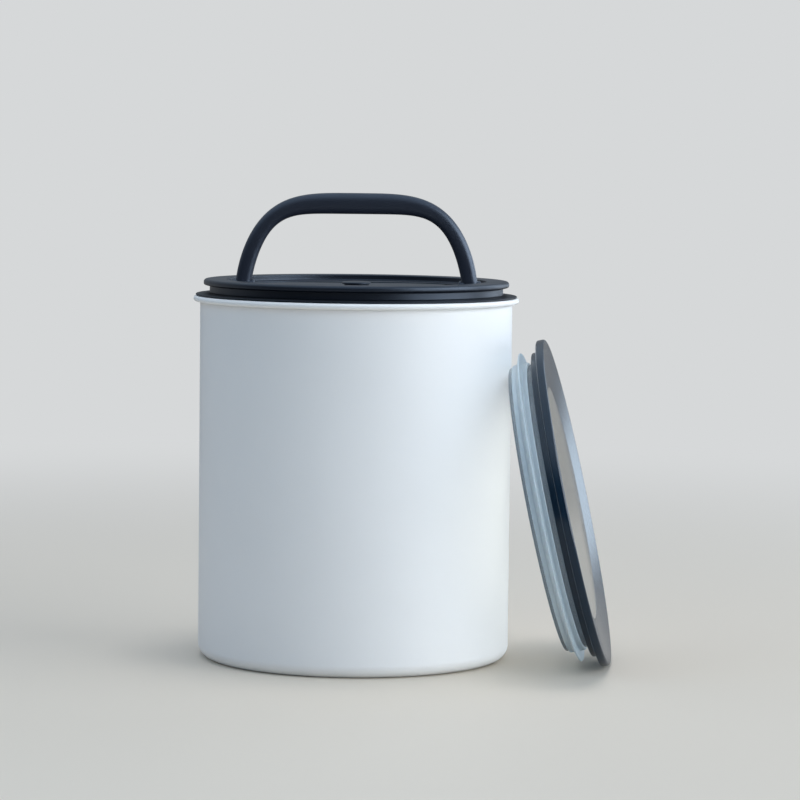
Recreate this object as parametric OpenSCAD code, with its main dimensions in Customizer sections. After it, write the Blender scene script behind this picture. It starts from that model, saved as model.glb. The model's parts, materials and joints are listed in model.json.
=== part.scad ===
// Coffee canister with a press-down inner lid, its air valve and folding handle,
// and a see-through outer lid that leans against the canister's side.
// The origin is the centre of the canister's base, and +Z is up.

/* [Canister] */
// Outer diameter of the wall
can_d = 170.6; // [150:0.2:200]
// Height from the table to the top of the rolled rim
can_h = 198; // [120:1:260]
// Thickness of the sheet
sheet_t = 0.6; // [0.4:0.1:1.2]
// Outer radius of the bend between wall and base
corner_r = 7; // [4:0.5:14]
// How far the rolled rim stands out from the wall
bead_out = 3.7; // [3:0.1:5]
// Height of the rolled rim
bead_h = 3.2; // [2.6:0.1:4]

/* [Inner lid] */
// Gap between the lid's guide flange and the canister's bore
flange_gap = 1.2; // [0.6:0.1:2.5]
// Thickness of the guide flange
flange_t = 3.3; // [2.6:0.1:5]
// How far the neck is set in under the flange
neck_in = 3.3; // [2:0.1:5]
// Height of the neck between the seal and the flange
neck_h = 4.2; // [3:0.1:8]
// Width of the flat land round the dish
land_w = 12.5; // [11:0.5:16]
// Depth of the dish
dish_depth = 3.2; // [2:0.1:4.5]
// Moulded wall of the lid's two halves
lid_wall = 2; // [1.6:0.1:2.6]
// Air space between the handle's recess and the base plate
lid_space = 4.5; // [3.5:0.5:10]
// Radius on the flange's outer edge
edge_r = 1.2; // [0.6:0.1:1.3]

/* [Wiper seal] */
// Thickness of the web held between the lid's two halves
seal_t = 1.4; // [1:0.1:2]
// Thickness of the lip at its tip
lip_t = 0.9; // [0.5:0.1:1]
// How far the relaxed lip is larger than the bore, in radius
lip_over = 3.1; // [2:0.1:3.6]
// Gap under the lip where it lies on the rim
lip_gap = 0.1; // [0.05:0.05:0.3]

/* [Handle] */
// Height of the handle above its pivots
handle_h = 51.4; // [44:0.1:56]
// Width of the grip, top to bottom
grip_w = 11.5; // [8:0.1:14]
// Width of a leg at its foot
leg_w = 8.4; // [7:0.1:12]
// Front to back thickness
handle_t = 7.8; // [7:0.1:9]
// How far each side of a foot flares out to its knuckle
foot_flare = 2; // [0.5:0.1:3]
// Play between a foot and the ear that carries its pin
foot_gap = 0.2; // [0.1:0.05:0.5]
// Thickness of the ear beside the dish wall
ear_t = 2.6; // [2:0.1:4]
// Radius of a pivot pin
pin_r = 1.5; // [1:0.1:1.8]
// Running clearance of a pin in the foot, in radius
pin_play = 0.05; // [0.03:0.01:0.1]
// Clearance round the folded handle in its recess
recess_gap = 1.2; // [0.8:0.1:2]

/* [Valve] */
// Diameter of the valve cap
cap_d = 16; // [14:0.5:20]
// Rise of the domed cap above the valve disc
cap_h = 1.7; // [1.2:0.1:2.5]
// Thickness of the soft valve disc
disc_t = 0.9; // [0.6:0.1:1.2]
// Radius of the valve stem
stem_r = 1.5; // [1.2:0.1:1.8]
// Height that the valve lifts
valve_lift = 1.5; // [1:0.1:2]
// Number of vent holes in the seat and slots in the base plate
vent_count = 8; // [5:1:9]
// Radius of a vent hole
vent_r = 1; // [0.6:0.1:1.1]
// Turns of the valve spring
spring_turns = 4.5; // [3:0.5:5]
// Wire diameter of the valve spring
spring_wire = 0.5; // [0.3:0.1:0.6]

/* [Outer lid] */
// How far the outer lid's edge stands past the rolled rim
ring_over = 1; // [0.4:0.1:3]
// Thickness of the outer lid's edge
ring_t = 4.4; // [3.5:0.1:6]
// Depth of the dished face at the window
face_dish = 3; // [1:0.1:3.4]
// Width of the dished band between the edge and the window
band_w = 23.5; // [15:0.5:30]
// Thickness of the window
window_t = 2; // [1.5:0.1:2.5]
// Gap between the step under the edge and the bore
step_gap = 0.9; // [0.4:0.1:1.5]
// Depth of the step under the edge
step_h = 3.7; // [2.5:0.1:5]
// How far the collar is set in from the step
collar_in = 5.9; // [5:0.1:7]
// Length of bare collar between the step and the gasket
collar_bare = 3; // [2:0.1:5]
// Depth of the gasket's groove in the collar
groove_d = 1.5; // [1:0.1:2]
// Height of the flange that ends the collar
collar_end_h = 1.9; // [1.4:0.1:3]

/* [Gasket] */
// Height of the gasket
gasket_h = 8.6; // [7:0.1:11]
// How far the gasket's body stands out of its groove
gasket_out = 1.4; // [0.8:0.1:2]
// How far the gasket's lip is squeezed by the bore, in radius
gasket_squeeze = 0.35; // [0.2:0.05:0.6]

/* [Leaning lid] */
// Lean of the outer lid from upright, in degrees
lean = 12.5; // [8:0.5:20]
// Turn of its face toward the front, in degrees
turn = 6.4; // [0:0.1:12]
// Place of its centre in front of the canister's axis
lean_front = 27; // [0:1:35]
// Gap between the leaning lid and the wall that it rests on
lean_gap = 0.3; // [0.2:0.05:0.5]
// Gap under the leaning lid's edge
floor_gap = 0.2; // [0.1:0.05:0.3]

/* [Hidden] */

// Clearance between two fixed pieces that fit one in the other
fit_gap = 0.05;
// Overlap that lets a cut run clean through a face
cut = 1;
// Facets round a large and a small turned piece
$fn = 96;

// Canister
shell_r = can_d / 2;
bore_r = shell_r - sheet_t;
bead_r = shell_r + bead_out;
curl_r = bead_h / 2;
curl_z = can_h - curl_r;
curl_slot = 0.6;

// Heights of the inner lid, from the seal up to the flange and down to the base
seal_z = can_h + lip_gap;
neck_z = seal_z + seal_t;
flange_z = neck_z + neck_h;
lid_z = flange_z + flange_t;
floor_z = lid_z - dish_depth;
pivot_z = lid_z - handle_t / 2 - 0.1;
knuckle_r = handle_t / 2 + 0.2;
recess_z = pivot_z - knuckle_r - 0.4;
plate_z = recess_z - lid_wall - lid_space;
base_z = plate_z - lid_wall;

// Radii of the inner lid
flange_r = bore_r - flange_gap;
neck_r = flange_r - neck_in;
dish_r = flange_r - land_w;
spigot_r = dish_r + lid_wall + 0.5;
base_r = neck_r - 0.2;
lip_r = bore_r + lip_over;
base_chamfer = 1.5;

// Handle, whose outline is a rounded arch with its own exponents inside and out
foot_out = dish_r - ear_t - foot_gap;
arch_out = foot_out - foot_flare;
arch_in = arch_out - leg_w;
foot_in = arch_in - foot_flare;
OUTER_ARCH = [3.82, 1.63];
INNER_ARCH = [5.9, 1.27];
flare_h = 6;
ear_z = pivot_z + pin_r + 0.7;
pin_in = foot_in + 1.5;

// Valve, on the lid's axis
cap_r = cap_d / 2;
seat_r = cap_r - 1;
seat_lip = 1.5;
seat_z = floor_z - lid_wall - seat_lip;
disc_z = floor_z + 0.1;
disc_r = seat_r - 0.3;
vent_at = seat_r - 2.2;
guide_r = stem_r + 0.7;
stem_play = 0.1;
stem_z = plate_z + 1.2;
clip_z = stem_z + 0.5;
clip_t = 0.8;
clip_r = 3.6;
clip_neck = stem_r - 0.3;
spring_r = guide_r + 0.3 + spring_wire / 2;
spring_z = [clip_z + clip_t + 0.05, seat_z - 0.05];

// Outer lid, drawn with its face up at zero
ring_r = bead_r + ring_over;
window_r = ring_r - 2.5 - band_w;
ledge_w = 3;
window_z = -face_dish - window_t;
ledge_z = window_z - 1.5;
step_r = bore_r - step_gap;
step_z = -ring_t - step_h;
collar_r = step_r - collar_in;
collar_t = 3.7;
gasket_z = step_z - collar_bare;
gasket_end = gasket_z - gasket_h;
collar_z = gasket_end - collar_end_h;
collar_lip = 0.2;
gasket_r = collar_r + gasket_out;
gasket_lip_r = bore_r + gasket_squeeze;

// Directions of the leaning lid: out of its face, up its face, and across it
lean_n = [cos(lean) * cos(turn), -cos(lean) * sin(turn), sin(lean)];
lean_w = [-sin(lean) * cos(turn), sin(lean) * sin(turn), cos(lean)];
lean_h = [sin(turn), cos(turn), 0];
lean_z = floor_gap + ring_r * cos(lean) + ring_t * sin(lean);

// Distance from the canister's axis to the nearest point of the collar's end
// when the lid's face is centred at x
function reach(x) = min([
    for (a = [-60 : 2 : 60])
        let (p = [x, -lean_front, lean_z] + collar_z * lean_n
                + (collar_r + collar_lip) * (cos(a) * lean_w + sin(a) * lean_h))
        norm([p.x, p.y])
]);
// The lid is slid in until the collar's end is a hair from the wall
function settle(x, steps) = steps == 0 ? x
    : settle(x + shell_r + lean_gap - reach(x), steps - 1);
lean_x = settle(shell_r + 36, 6);

// A point on a rounded arch, half its width a and its height b, at angle t
function arch(a, b, shape, t) = [
    a * sign(cos(t)) * pow(abs(cos(t)), 2 / shape[0]),
    b * pow(sin(t), 2 / shape[1])
];
// Angles along the arch, closer where it bends
function arch_angle(i, steps) = 180 * i / steps;

// Points of a quarter round with its centre, radius and first angle
function quarter(c, r, from) = [
    for (a = [from : 15 : from + 90]) c + r * [cos(a), sin(a)]
];

// A disc's edge in the r-z plane, flat on top and below and rounded outside
module rounded_slab(r0, r1, z0, z1, r) {
    translate([r0, z0]) square([r1 - r - r0, z1 - z0]);
    translate([r0, z0 + r]) square([r1 - r0, z1 - z0 - 2 * r]);
    for (z = [z0 + r, z1 - r]) translate([r1 - r, z]) circle(r, $fn = 32);
}

// The race-track section of the rolled rim, drawn in by a sheet or not
module curl_section(inset) {
    r = curl_r - inset;
    for (x = [bore_r + curl_r, bead_r - curl_r])
        translate([x, curl_z]) circle(r, $fn = 40);
    translate([bore_r + curl_r, curl_z - r])
        square([bead_r - bore_r - bead_h, 2 * r]);
}

// The area inside the wall's outer or inner face, in the r-z plane
module can_section(r, z, corner) {
    translate([0, z + corner]) square([r, curl_z - z - corner]);
    translate([0, z]) square([r - corner, corner + cut]);
    translate([r - corner, z + corner]) circle(corner, $fn = 64);
}

module canister_shell() {
    color("white") rotate_extrude($fn = 180) {
        difference() {
            intersection() {
                can_section(shell_r, 0, corner_r);
                square([shell_r, can_h]);
            }
            intersection() {
                can_section(bore_r, sheet_t, corner_r - sheet_t);
                square([bore_r, can_h]);
            }
        }
        difference() {
            curl_section(0);
            curl_section(sheet_t);
            translate([shell_r, curl_z - bead_h]) square([curl_slot, bead_h]);
        }
    }
}

// Plan of the recess that the folded handle lies in, grown by a margin
module recess_plan(margin) {
    steps = 48;
    gap = recess_gap + margin;
    difference() {
        polygon([for (i = [0 : steps])
            arch(arch_out + gap, handle_h + gap, OUTER_ARCH, arch_angle(i, steps))]);
        polygon([for (i = [0 : steps])
            arch(arch_in - gap, handle_h - grip_w - gap, INNER_ARCH,
                 arch_angle(i, steps))]);
    }
    for (side = [-1, 1]) scale([side, 1])
        translate([foot_in - gap, -knuckle_r - 0.3 - margin])
            square([foot_out + foot_gap + margin - foot_in + gap,
                    2 * knuckle_r + 4 + 2 * margin]);
}

module lid_top() {
    color("#1c2128") difference() {
        union() {
            rotate_extrude($fn = 144) {
                rounded_slab(dish_r, flange_r, flange_z, lid_z, edge_r);
                translate([neck_r - lid_wall, neck_z])
                    square([lid_wall, neck_h + cut]);
                translate([dish_r, plate_z])
                    square([spigot_r - dish_r, lid_z - plate_z - cut]);
                translate([0, floor_z - lid_wall])
                    square([dish_r + cut, lid_wall]);
            }
            translate([0, 0, recess_z - lid_wall])
                linear_extrude(floor_z - recess_z + lid_wall)
                    recess_plan(lid_wall);
            for (side = [-1, 1]) scale([side, 1, 1])
                translate([foot_out + foot_gap, -knuckle_r, recess_z])
                    cube([ear_t + 0.5, 2 * knuckle_r, ear_z - recess_z]);
        }
        translate([0, 0, recess_z]) linear_extrude(lid_z - recess_z + cut)
            recess_plan(0);
        translate([0, 0, floor_z - lid_wall - cut])
            cylinder(h = lid_wall + 2 * cut, r = seat_r + fit_gap, $fn = 64);
        for (side = [-1, 1]) scale([side, 1, 1])
            translate([foot_out, 0, pivot_z]) rotate([0, 90, 0])
                cylinder(h = spigot_r - foot_out + cut, r = pin_r + fit_gap / 2,
                         $fn = 48);
    }
}

module lid_base() {
    color("#20252c") difference() {
        rotate_extrude($fn = 144) {
            polygon([
                [0, base_z], [base_r - base_chamfer, base_z],
                [base_r, base_z + base_chamfer], [base_r, seal_z],
                [spigot_r + fit_gap, seal_z], [spigot_r + fit_gap, seal_z - lid_wall],
                [base_r - lid_wall, seal_z - lid_wall],
                [base_r - lid_wall, plate_z], [0, plate_z]
            ]);
        }
        for (i = [1 : vent_count]) rotate(360 * i / vent_count)
            translate([4, -vent_r, base_z - cut])
                cube([7, 2 * vent_r, lid_wall + 2 * cut]);
    }
}

module wiper_seal() {
    tip = lip_t / 2;
    color("#14171b") rotate_extrude($fn = 144)
        polygon(concat(
            [[spigot_r + fit_gap, seal_z], [lip_r - tip, seal_z + 0.05]],
            [for (a = [-60 : 30 : 60])
                [lip_r - tip, seal_z + 0.05 + tip] + tip * [cos(a), sin(a)]],
            [[lip_r - tip, seal_z + 0.05 + lip_t], [neck_r, neck_z],
             [spigot_r + fit_gap, neck_z]]
        ));
}

// The arch of the handle: rounded sections along the arch, from foot to foot
module handle_arch() {
    rings = 40;
    sides = 20;
    roundness = 2.5;
    points = [
        for (i = [0 : rings])
            let (
                t = arch_angle(i, rings),
                side = sign(cos(t)),
                rise = handle_h * pow(sin(t), 2 / OUTER_ARCH[1]),
                flare = foot_flare * pow(max(0, 1 - rise / flare_h), 2),
                out = arch(arch_out, handle_h, OUTER_ARCH, t) + [side * flare, 0],
                inn = arch(arch_in, handle_h - grip_w, INNER_ARCH, t)
                    - [side * flare, 0]
            )
            for (j = [0 : sides - 1])
                let (
                    a = 360 * j / sides,
                    u = sign(cos(a)) * pow(abs(cos(a)), 2 / roundness),
                    v = sign(sin(a)) * pow(abs(sin(a)), 2 / roundness),
                    p = (out + inn) / 2 + u * (out - inn) / 2
                )
                [p.x, v * handle_t / 2, p.y]
    ];
    faces = concat(
        [[for (j = [0 : sides - 1]) j]],
        [for (i = [0 : rings - 1]) for (j = [0 : sides - 1]) for (half = [0, 1])
            let (
                k = (j + 1) % sides,
                a = i * sides + j, b = i * sides + k,
                c = (i + 1) * sides + k, d = (i + 1) * sides + j
            )
            half == 0 ? [a, d, c] : [a, c, b]],
        [[for (j = [sides - 1 : -1 : 0]) rings * sides + j]]
    );
    polyhedron(points, faces, convexity = 6);
}

// The turned knuckle at the foot of each leg, with rounded ends
module knuckle() {
    r = 1.2;
    translate([foot_in, 0, 0]) rotate([0, 90, 0]) rotate_extrude($fn = 48) {
        square([knuckle_r - r, foot_out - foot_in]);
        translate([0, r]) square([knuckle_r, foot_out - foot_in - 2 * r]);
        for (z = [r, foot_out - foot_in - r])
            translate([knuckle_r - r, z]) circle(r, $fn = 24);
    }
}

module handle() {
    color("#1a1e26") translate([0, 0, pivot_z]) difference() {
        union() {
            handle_arch();
            for (side = [0, 1]) mirror([side, 0, 0]) knuckle();
        }
        for (side = [0, 1]) mirror([side, 0, 0])
            translate([pin_in, 0, 0]) rotate([0, 90, 0])
                cylinder(h = foot_out - pin_in + cut, r = pin_r + pin_play,
                         $fn = 48);
    }
}

module pivot_pin(side) {
    color("silver") mirror([side, 0, 0])
        translate([pin_in + 0.2, 0, pivot_z]) rotate([0, 90, 0])
            cylinder(h = spigot_r - 0.1 - pin_in - 0.2, r = pin_r, $fn = 48);
}
module pivot_pin_left() { pivot_pin(1); }
module pivot_pin_right() { pivot_pin(0); }

module valve_seat() {
    color("#2a2f37") difference() {
        union() {
            translate([0, 0, seat_z])
                cylinder(h = floor_z - seat_z, r = seat_r, $fn = 64);
            translate([0, 0, seat_z])
                cylinder(h = seat_lip, r = seat_r + 1.5, $fn = 64);
            translate([0, 0, seat_z - 2])
                cylinder(h = 2 + cut, r = guide_r, $fn = 48);
        }
        translate([0, 0, seat_z - 2 - cut])
            cylinder(h = floor_z - seat_z + 2 + 2 * cut, r = stem_r + stem_play,
                     $fn = 48);
        for (i = [1 : vent_count]) rotate(360 * i / vent_count)
            translate([vent_at, 0, seat_z - cut])
                cylinder(h = floor_z - seat_z + 2 * cut, r = vent_r, $fn = 24);
    }
}

module valve_disc() {
    color("#3a3f47") difference() {
        translate([0, 0, disc_z]) cylinder(h = disc_t, r = disc_r, $fn = 64);
        translate([0, 0, disc_z - cut])
            cylinder(h = disc_t + 2 * cut, r = stem_r + fit_gap, $fn = 48);
    }
}

// A domed cap on its stem, with a neck near the end for the clip
module valve_cap() {
    under = disc_z + disc_t;
    rim = 0.6;
    rise = cap_h - rim;
    dome = (cap_r * cap_r + rise * rise) / (2 * rise);
    color("#12151a") rotate_extrude($fn = 64) {
        translate([0, under]) square([cap_r, rim]);
        intersection() {
            translate([0, under + cap_h - dome]) circle(dome, $fn = 180);
            translate([0, under]) square([cap_r, cap_h]);
        }
        translate([0, clip_z + clip_t]) square([stem_r, under - clip_z]);
        translate([0, stem_z]) square([clip_neck, clip_z + clip_t - stem_z + cut]);
        translate([0, stem_z]) square([stem_r, clip_z - stem_z]);
    }
}

module valve_clip() {
    color("silver") difference() {
        translate([0, 0, clip_z + fit_gap / 2])
            cylinder(h = clip_t - fit_gap, r = clip_r, $fn = 48);
        translate([0, 0, clip_z - cut])
            cylinder(h = clip_t + 2 * cut, r = clip_neck + fit_gap, $fn = 32);
        translate([0, -clip_neck + 0.1, clip_z - cut])
            cube([clip_r + cut, 2 * clip_neck - 0.2, clip_t + 2 * cut]);
    }
}

// One unbroken wire wound as a helix between the clip and the seat
module valve_spring() {
    around = 12;
    sides = 6;
    rings = floor(spring_turns * around);
    z0 = spring_z[0] + spring_wire / 2;
    z1 = spring_z[1] - spring_wire / 2;
    points = [
        for (i = [0 : rings])
            let (
                a = 360 * i / around,
                c = [spring_r * cos(a), spring_r * sin(a), z0 + (z1 - z0) * i / rings]
            )
            for (j = [0 : sides - 1])
                let (b = 360 * j / sides)
                c + spring_wire / 2 * [cos(b) * cos(a), cos(b) * sin(a), sin(b)]
    ];
    faces = concat(
        [[for (j = [sides - 1 : -1 : 0]) j]],
        [for (i = [0 : rings - 1]) for (j = [0 : sides - 1]) for (half = [0, 1])
            let (
                k = (j + 1) % sides,
                a = i * sides + j, b = i * sides + k,
                c = (i + 1) * sides + k, d = (i + 1) * sides + j
            )
            half == 0 ? [a, c, d] : [a, b, c]],
        [[for (j = [0 : sides - 1]) rings * sides + j]]
    );
    color("silver") polyhedron(points, faces, convexity = 8);
}

// Sets a piece of the outer lid down where it leans against the canister
module leaning() {
    translate([lean_x, -lean_front, lean_z]) rotate([0, 0, -turn])
        rotate([0, 90 - lean, 0]) children();
}

module outer_lid_ring() {
    r = 1.2;
    color("#232f3c", 0.9) leaning() rotate_extrude($fn = 144)
        polygon(concat(
            [[window_r - ledge_w, ledge_z], [collar_r + fit_gap, ledge_z],
             [collar_r + fit_gap, step_z], [step_r - 0.5, step_z],
             [step_r, step_z + 0.5], [step_r, -ring_t]],
            quarter([ring_r - 0.8, -ring_t + 0.8], 0.8, 270),
            quarter([ring_r - r, -r], r, 0),
            [[ring_r - 2.5, 0], [window_r + fit_gap, -face_dish],
             [window_r + fit_gap, window_z], [window_r - ledge_w, window_z]]
        ));
}

module outer_lid_window() {
    color("#9d9c97", 0.5) leaning() translate([0, 0, window_z])
        cylinder(h = window_t, r = window_r, $fn = 144);
}

module outer_lid_collar() {
    r0 = collar_r - collar_t;
    color("#6f7a80", 0.6) leaning() rotate_extrude($fn = 144)
        polygon([
            [r0, collar_z], [collar_r + collar_lip - 0.4, collar_z],
            [collar_r + collar_lip, collar_z + 0.4],
            [collar_r + collar_lip, gasket_end], [collar_r - groove_d, gasket_end],
            [collar_r - groove_d, gasket_z], [collar_r, gasket_z],
            [collar_r, ledge_z], [r0, ledge_z]
        ]);
}

module outer_lid_gasket() {
    r0 = collar_r - groove_d + fit_gap;
    z0 = gasket_end + fit_gap;
    z1 = gasket_z - fit_gap;
    lip_z = z1 - 3.5;
    tip = 0.5;
    color("#b9ccd8", 0.8) leaning() rotate_extrude($fn = 144)
        polygon(concat(
            [[r0, z0], [gasket_r - 0.5, z0], [gasket_r, z0 + 0.5],
             [gasket_r, lip_z - 2.4]],
            [for (a = [-90 : 30 : 90])
                [gasket_lip_r - tip, lip_z] + tip * [cos(a), sin(a)]],
            [[gasket_r, lip_z + 0.6], [gasket_r, z1 - 0.5],
             [gasket_r - 0.5, z1], [r0, z1]]
        ));
}

canister_shell();
lid_top();
lid_base();
wiper_seal();
handle();
pivot_pin_left();
pivot_pin_right();
valve_seat();
valve_disc();
valve_cap();
valve_spring();
valve_clip();
outer_lid_ring();
outer_lid_window();
outer_lid_collar();
outer_lid_gasket();
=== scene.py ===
# %% [markdown]
# # A coffee canister with a press-down lid
#
# The object is a powder-coated steel can, an inner lid with a folding handle and an air valve,
# and a smoked plastic outer lid that leans against the can. The CAD model already fixes every
# size, so it is loaded first, and each piece here is built in the same place at the same size.
# The work in Blender is what a CAD model leaves plain: rounded edges, finer curves and finishes.

# %% Load the CAD frame
import json
from math import atan2, cos, floor, pi, radians, sin, tan

import bpy
from mathutils import Matrix, Vector
from mathutils.geometry import tessellate_polygon


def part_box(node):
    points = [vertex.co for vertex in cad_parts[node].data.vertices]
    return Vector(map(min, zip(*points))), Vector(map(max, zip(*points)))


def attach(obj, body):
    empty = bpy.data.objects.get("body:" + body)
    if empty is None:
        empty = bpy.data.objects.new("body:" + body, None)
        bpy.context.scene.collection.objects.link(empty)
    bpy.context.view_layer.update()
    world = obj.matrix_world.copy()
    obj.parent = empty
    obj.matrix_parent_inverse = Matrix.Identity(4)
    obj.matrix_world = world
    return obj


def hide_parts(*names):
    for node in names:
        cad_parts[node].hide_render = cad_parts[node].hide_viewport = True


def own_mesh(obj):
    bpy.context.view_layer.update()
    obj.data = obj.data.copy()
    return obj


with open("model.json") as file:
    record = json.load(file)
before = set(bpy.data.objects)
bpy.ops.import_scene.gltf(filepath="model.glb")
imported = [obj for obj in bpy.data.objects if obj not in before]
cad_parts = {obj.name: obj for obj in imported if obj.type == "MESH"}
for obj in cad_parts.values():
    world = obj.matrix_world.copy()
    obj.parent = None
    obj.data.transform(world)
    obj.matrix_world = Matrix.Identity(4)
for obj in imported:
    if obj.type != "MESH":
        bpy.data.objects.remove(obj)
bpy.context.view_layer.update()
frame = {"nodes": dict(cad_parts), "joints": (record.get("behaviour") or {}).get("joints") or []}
MM = 0.001

# %% [markdown]
# ## The camera
#
# A photograph taken from 1.8 m with a long lens shows the can almost from the side, so the
# camera looks down by only 4 degrees. A camera can be aimed with angles or with a tracking
# constraint. Here its three axes are worked out and written into a matrix, because then the
# small roll of the original picture is kept exactly.

# %% Camera
PITCH = 0.0773
YAW = 0.0136
ROLL = 0.0111
forward = Vector((sin(YAW) * cos(PITCH), cos(YAW) * cos(PITCH), -sin(PITCH)))
level = Vector((cos(YAW), -sin(YAW), 0))
upright = level.cross(forward)
across = cos(ROLL) * level + sin(ROLL) * upright
above = cos(ROLL) * upright - sin(ROLL) * level

camera_data = bpy.data.cameras.new("camera")
camera_data.lens = 148.05
camera_data.sensor_width = 36
camera_data.clip_end = 40
camera = bpy.data.objects.new("camera", camera_data)
turned_view = Matrix((across, above, -forward)).transposed().to_4x4()
camera.matrix_world = Matrix.Translation((0, -1.8, 0.2807)) @ turned_view
bpy.context.scene.collection.objects.link(camera)
bpy.context.scene.camera = camera
print("camera looks along", [round(v, 4) for v in forward])

# %% [markdown]
# ## Colours and shader nodes
#
# A colour is written as the sRGB hex value that a colour picker shows. Shaders work in linear
# light, so one function converts it. A second one adds a shader node, fills in its settings
# and joins its inputs, which keeps each material short enough to read like a recipe.

# %% Colour and node helpers
def linear(hex_colour):
    """An sRGB hex colour such as "E8EFF5" as linear red, green, blue and alpha."""
    channels = []
    for start in (0, 2, 4):
        value = int(hex_colour[start : start + 2], 16) / 255
        if value <= 0.04045:
            channels.append(value / 12.92)
        else:
            channels.append(((value + 0.055) / 1.055) ** 2.4)
    return (*channels, 1.0)


def add_node(tree, kind, inputs=None, **settings):
    """Adds a node. An input is either a value or the output socket that feeds it."""
    node = tree.nodes.new(kind)
    for name, value in settings.items():
        setattr(node, name, value)
    for name, value in (inputs or {}).items():
        if isinstance(value, bpy.types.NodeSocket):
            tree.links.new(value, node.inputs[name])
        else:
            node.inputs[name].default_value = value
    return node


def new_material(name):
    """An empty node material, its tree and its Object coordinates in metres."""
    material = bpy.data.materials.new(name)
    material.use_nodes = True
    tree = material.node_tree
    tree.nodes.clear()
    place = add_node(tree, "ShaderNodeTexCoord").outputs["Object"]
    return material, tree, place


def finish_with(tree, shader):
    """Sends a shader to the material's surface."""
    add_node(tree, "ShaderNodeOutputMaterial", {"Surface": shader.outputs[0]})


print("white as linear light:", [round(v, 3) for v in linear("E8EFF5")[:3]])

# %% [markdown]
# ## Powder coat on steel
#
# The can is steel sheet sprayed with polyester powder and baked. The powder melts into a skin
# that levels almost flat but keeps a soft unevenness called orange peel, with bumps about 1.2 mm
# across. They are drawn at 2 mm, because finer ones fall between the pixels of the render. The
# skin is satin: it gives the eye a broad, soft highlight and no mirror image.

# %% Powder coat
def powder_coat():
    """Cool white polyester powder coat with faint orange peel."""
    material, tree, place = new_material("polyester_powder_coat")
    peel = add_node(
        tree, "ShaderNodeTexNoise",
        {"Vector": place, "Scale": 1 / (2.0 * MM), "Detail": 2, "Roughness": 0.45},
    )
    drift = add_node(
        tree, "ShaderNodeTexNoise",
        {"Vector": place, "Scale": 1 / (60 * MM), "Detail": 2},
    )
    tint = add_node(tree, "ShaderNodeValToRGB", {"Fac": drift.outputs["Fac"]})
    tint.color_ramp.elements[0].color = linear("ECECEB")
    tint.color_ramp.elements[1].color = linear("F2F2F1")
    bump = add_node(
        tree, "ShaderNodeBump",
        {"Height": peel.outputs["Fac"], "Distance": 0.03 * MM, "Strength": 0.5},
    )
    shader = add_node(
        tree, "ShaderNodeBsdfPrincipled",
        {
            "Base Color": tint.outputs["Color"],
            "Roughness": 0.42,
            "IOR": 1.5,
            "Normal": bump.outputs["Normal"],
        },
    )
    finish_with(tree, shader)
    return material


coat = powder_coat()
print("made", coat.name)

# %% [markdown]
# ## Bare stainless steel
#
# Inside, the can is bare stainless sheet, spun smooth in drawing, so very fine lines run round
# the wall. The pins, clip and spring are the same metal, drawn as wire. Metal has no colour
# under its surface: all that the eye gets is the reflection, tinted slightly by the alloy.
# Noise that is stretched round the wall and tight along the height makes those lines.

# %% Stainless steel
def stainless(name, line_spacing, stretch, roughness):
    """Stainless steel whose fine lines repeat along Z about every line_spacing."""
    material, tree, place = new_material(name)
    mapping = add_node(
        tree, "ShaderNodeMapping",
        {"Vector": place, "Scale": (1 / stretch, 1 / stretch, 1 / line_spacing)},
    )
    lines = add_node(
        tree, "ShaderNodeTexNoise",
        {"Vector": mapping.outputs["Vector"], "Scale": 1.0, "Detail": 3},
    )
    spread = add_node(
        tree, "ShaderNodeMapRange",
        {"Value": lines.outputs["Fac"], "To Min": roughness - 0.06, "To Max": roughness + 0.08},
    )
    bump = add_node(
        tree, "ShaderNodeBump",
        {"Height": lines.outputs["Fac"], "Distance": 0.01 * MM, "Strength": 0.5},
    )
    shader = add_node(
        tree, "ShaderNodeBsdfPrincipled",
        {
            "Base Color": linear("D3D4D5"),
            "Metallic": 1.0,
            "Roughness": spread.outputs["Result"],
            "Normal": bump.outputs["Normal"],
        },
    )
    finish_with(tree, shader)
    return material


steel_inside = stainless("drawn_stainless_sheet", 0.8 * MM, 30 * MM, 0.3)
steel_wire = stainless("bright_stainless_wire", 0.3 * MM, 3 * MM, 0.22)
print("made", steel_inside.name, "and", steel_wire.name)

# %% [markdown]
# ## Moulded black plastics and rubber
#
# The inner lid is injection-moulded ABS and the handle glass-filled nylon. Both come out of a
# spark-eroded steel mould, which leaves a fine matt grain of about 0.3 mm, drawn here at 0.7 mm.
# The nylon is a little glossier on its worn grip. The seal and the valve disc are moulded
# rubber, which scatters light more, so its highlights are dull. Black plastic isn't pure black:
# it sends back a few hundredths of the light, and by a window that gloss looks blue. So the
# shader's specular colour is a pale blue.

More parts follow.
